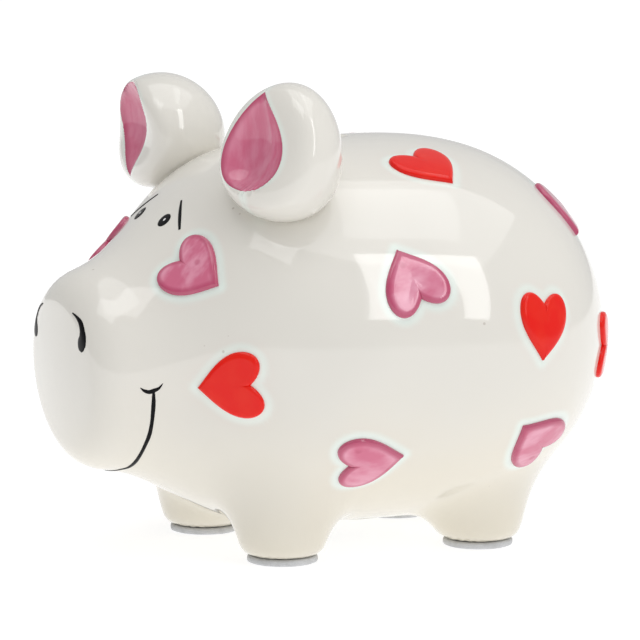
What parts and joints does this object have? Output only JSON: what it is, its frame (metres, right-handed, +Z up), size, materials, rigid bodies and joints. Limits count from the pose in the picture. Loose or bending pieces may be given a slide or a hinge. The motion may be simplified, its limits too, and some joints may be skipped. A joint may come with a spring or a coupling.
{
  "type": "animal coin bank",
  "caption": "Hollow glazed ceramic pig coin bank with a slot in its back, raised hearts, scooped ears, stick-on foot pads and a belly stopper that pulls out.",
  "frame": {"origin": "on the standing surface, under the middle of the bank's overall box", "axes": "+Z up, -Y towards the snout, +X towards the pig's own left side"},
  "size_m": [0.1378, 0.1604, 0.1348],
  "materials": {
    "ivory_glaze": "glossy ivory glaze",
    "pink_glaze": "glossy brushed pink glaze",
    "red_glaze": "glossy red glaze",
    "foot_felt": "matt pale grey felt",
    "stopper_vinyl": "soft milky vinyl"
  },
  "bodies": {
    "bank": {"body_shell": "ivory_glaze", "ear_left": "ivory_glaze", "ear_right": "ivory_glaze", "foot_pad_front_left": "foot_felt", "foot_pad_front_right": "foot_felt", "foot_pad_rear_left": "foot_felt", "foot_pad_rear_right": "foot_felt", "heart_cheek_left": "pink_glaze", "heart_chest_left": "red_glaze", "heart_back_left": "red_glaze", "heart_flank_left": "pink_glaze", "heart_rump_left": "red_glaze", "heart_belly_left": "pink_glaze", "heart_haunch_left": "pink_glaze", "heart_rump_top": "pink_glaze", "heart_rump_end": "red_glaze", "heart_cheek_right": "pink_glaze", "heart_chest_right": "pink_glaze", "heart_back_right": "pink_glaze", "heart_flank_right": "red_glaze", "heart_rump_right": "pink_glaze", "heart_belly_right": "red_glaze", "heart_haunch_right": "red_glaze"},
    "stopper": {"stopper": "stopper_vinyl"}
  },
  "joints": [
    {"name": "stopper_pull", "type": "slide", "parent": "bank", "child": "stopper", "axis": [0, 0, -1], "range_m": [0, 0.045]}
  ]
}
